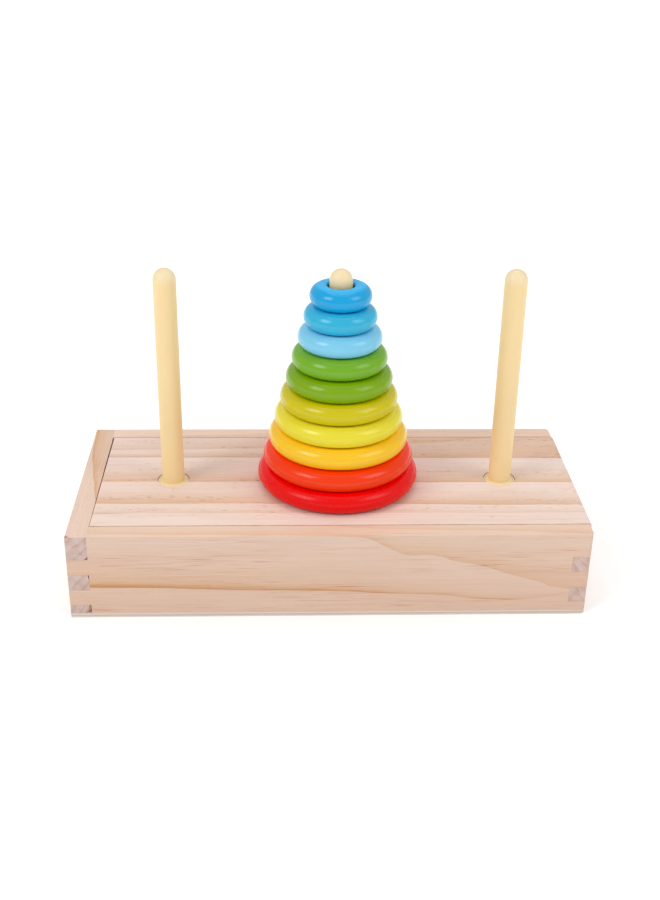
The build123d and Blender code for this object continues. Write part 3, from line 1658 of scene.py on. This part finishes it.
@dataclass
class PegSet:
    """The three pegs, each a straight rod with a domed top and a spigot under its flange.

    Attributes:
        rod_radius: The rod's radius.
        spigot_radius: The spigot's radius.
        spigot_length: The spigot's length.
        flange_height: The flange's thickness.
        fillet: The rounding between the flange and the rod.
        turn_steps: How many steps make a full turn.
    """

    rod_radius: float = 5.0 * MM
    spigot_radius: float = 4.0 * MM
    spigot_length: float = 5.6 * MM
    flange_height: float = 1.2 * MM
    fillet: float = 0.25 * MM
    turn_steps: int = 72

    def peg(self, side: Side) -> bmesh.types.BMesh:
        """Build one peg.

        Args:
            side: Where it stands.

        Returns:
            The peg.
        """
        low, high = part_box(f"peg_{side.value}")
        flange = (high.x - low.x) / 2
        height = high.z - low.z
        flange_top = self.spigot_length + self.flange_height
        profile = [(0, 0), (self.spigot_radius, 0), (self.spigot_radius, self.spigot_length)]
        profile.append((flange, self.spigot_length))
        fillet = self.fillet
        profile += arc((flange - fillet, flange_top - fillet), fillet, 0, 90, 3)
        profile += arc((self.rod_radius + fillet, flange_top + fillet), fillet, -90, -180, 3)
        profile += arc((0, height - self.rod_radius), self.rod_radius, 0, 90, 16)
        return lathe(profile, Vector(((low.x + high.x) / 2, 0, low.z)), self.turn_steps)

    def build(self) -> None:
        """Build and dress the pegs."""
        plastic = PEG_PLASTIC.material()
        for side in Side:
            piece = make_object(f"cream_peg_{side.value}", self.peg(side), plastic)
            smooth_shade(piece)
            stand_for(piece, f"peg_{side.value}", f"peg_{side.value}")


# --- Rings --------------------------------------------------------------------------------


@dataclass
class RingStack:
    """The ten painted wooden rings, the largest at the bottom.

    Attributes:
        hole_radius: The radius of the rings' holes.
        hole_edge: The rounding of a hole's edges.
        turn_steps: How many steps make a full turn.
        round_steps: How many steps the round outer edge has.
    """

    hole_radius: float = 5.8 * MM
    hole_edge: float = 1.0 * MM
    turn_steps: int = 160
    round_steps: int = 36

    def ring(self, node: str) -> bmesh.types.BMesh:
        """Build one ring: flat above and below, with a fully rounded outer edge.

        Args:
            node: The frame node it stands for.

        Returns:
            The ring.
        """
        low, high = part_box(node)
        height = high.z - low.z
        half = height / 2
        outer = (high.x - low.x) / 2
        edge = self.hole_edge
        profile = arc((outer - half, half), half, -90, 90, self.round_steps)
        profile += arc((self.hole_radius + edge, height - edge), edge, 90, 180, 6)
        profile += arc((self.hole_radius + edge, edge), edge, 180, 270, 6)
        return lathe(profile, Vector(((low.x + high.x) / 2, 0, low.z)), self.turn_steps)

    def build(self) -> None:
        """Build and paint the rings."""
        for place, (colour, finish) in enumerate(ENAMELS.items(), start=1):
            node = f"ring_{place:02d}_{colour}"
            piece = make_object(f"painted_{node}", self.ring(node), finish.material())
            smooth_shade(piece)
            stand_for(piece, node, node)


# --- Studio -------------------------------------------------------------------------------


@dataclass(frozen=True)
class Softbox:
    """A square studio light with a diffuser.

    Attributes:
        name: The light's name.
        towards: The way from the puzzle to the light.
        distance: How far off it is.
        size: The length of its side.
        power: Its power, in watts.
    """

    name: str
    towards: tuple[float, float, float]
    distance: float
    size: float
    power: float

    def build(self, target: Vector) -> None:
        """Hang the light and aim it.

        Args:
            target: The point it shines at.
        """
        light = bpy.data.lights.new(self.name, "AREA")
        light.shape = "SQUARE"
        light.size = self.size
        light.energy = self.power
        lamp = bpy.data.objects.new(self.name, light)
        lamp.location = target + Vector(self.towards).normalized() * self.distance
        lamp.rotation_euler = (target - lamp.location).to_track_quat("-Z", "Y").to_euler()
        bpy.context.scene.collection.objects.link(lamp)


@dataclass
class Studio:
    """The pale floor, the white surroundings, the softboxes and the camera.

    Attributes:
        floor_half: Half the floor's side.
        floor_drop: How far the floor lies under the puzzle.
        floor_glow: How much light comes up through the floor further off.
        glow_reach: How far from the middle the floor's light is at its full, in millimetres.
        surround: The brightness of the white surroundings.
        camera_place: Where the camera stands.
        camera_target: What it points at.
        camera_roll: How far it leans to the right, in degrees.
        lens: Its focal length, in millimetres.
        softboxes: The lights.
    """

    floor_half: float = 30.0
    floor_drop: float = 0.05 * MM
    floor_glow: float = 0.55
    glow_reach: float = 600.0
    surround: float = 0.62
    camera_place: tuple[float, float, float] = (-21.1 * MM, -493.6 * MM, 304.9 * MM)
    camera_target: tuple[float, float, float] = (0.5 * MM, 0.0, 54.5 * MM)
    camera_roll: float = 0.99
    lens: float = 49.03
    softboxes: tuple[Softbox, ...] = (
        Softbox("softbox_left", (-0.64, -0.41, 0.64), 2.0, 0.85, 12.0),
        Softbox("softbox_right", (0.68, -0.36, 0.63), 2.0, 1.0, 9.0),
        Softbox("softbox_overhead", (0.0, 0.2, 1.0), 2.0, 1.5, 8.0),
    )

    def floor(self) -> None:
        """Lay a pale floor that glows more further off, as painted light that keeps it white into
        the distance.
        """
        shape = bmesh.new()
        bmesh.ops.create_grid(shape, x_segments=1, y_segments=1, size=self.floor_half)
        bmesh.ops.translate(shape, verts=shape.verts, vec=(0, 0, -self.floor_drop))
        graph = Graph(bpy.data.materials.new("white_floor"))
        place = graph.position()
        paper = graph.noise(place, (40, 40, 40))
        white = graph.mix(paper, (0.91, 0.91, 0.91), (0.93, 0.93, 0.93))
        # Painted light: the floor glows, more further from the middle, so that it stays white in
        # the distance.
        length = {"operation": "LENGTH"}
        from_middle = graph.node("ShaderNodeVectorMath", length, {0: place}, "Value")
        far = from_middle.rise(0, self.glow_reach)
        glow = graph.mix(far, (0.2, 0.2, 0.2), (1.0, 1.0, 1.0))
        material = graph.finish(
            {
                "Base Color": white,
                "Roughness": 0.9,
                "Specular IOR Level": 0.2,
                "Emission Color": glow,
                "Emission Strength": self.floor_glow,
            }
        )
        make_object("studio_floor", shape, material)

    def surroundings(self) -> None:
        """Fill the rest of the room with soft white light, in front of a white wall."""
        graph = Graph(bpy.data.worlds.new("white_room"))
        seen = graph.node("ShaderNodeLightPath", output="Is Camera Ray")
        strength = seen * (1.0 - self.surround) + self.surround
        inputs = {"Color": (1.0, 1.0, 1.0, 1.0), "Strength": strength}
        light = graph.node("ShaderNodeBackground", inputs=inputs)
        graph.node("ShaderNodeOutputWorld", inputs={"Surface": light}, output=None)
        bpy.context.scene.world = graph.owner

    def camera(self) -> None:
        """Stand the camera in front, a little to the left and above."""
        lens = bpy.data.cameras.new("camera")
        lens.lens = self.lens
        lens.sensor_width = 36.0
        camera = bpy.data.objects.new("camera", lens)
        camera.location = self.camera_place
        view = Vector(self.camera_target) - Vector(self.camera_place)
        level = view.to_track_quat("-Z", "Y")
        roll = Quaternion((0, 0, 1), math.radians(self.camera_roll))
        camera.rotation_euler = (level @ roll).to_euler()
        bpy.context.scene.collection.objects.link(camera)
        bpy.context.scene.camera = camera

    def build(self) -> None:
        """Set up the whole studio."""
        bpy.context.scene.view_settings.view_transform = "Standard"
        self.floor()
        self.surroundings()
        self.camera()
        for softbox in self.softboxes:
            softbox.build(Vector(self.camera_target))


def main() -> None:
    """Load the frame and build every piece around it."""
    logging.basicConfig(level=logging.INFO, format="%(name)s: %(message)s")
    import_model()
    Studio().build()
    PineBox().build()
    SlidingLid().build()
    PegSet().build()
    RingStack().build()


if __name__ == "__main__":
    main()
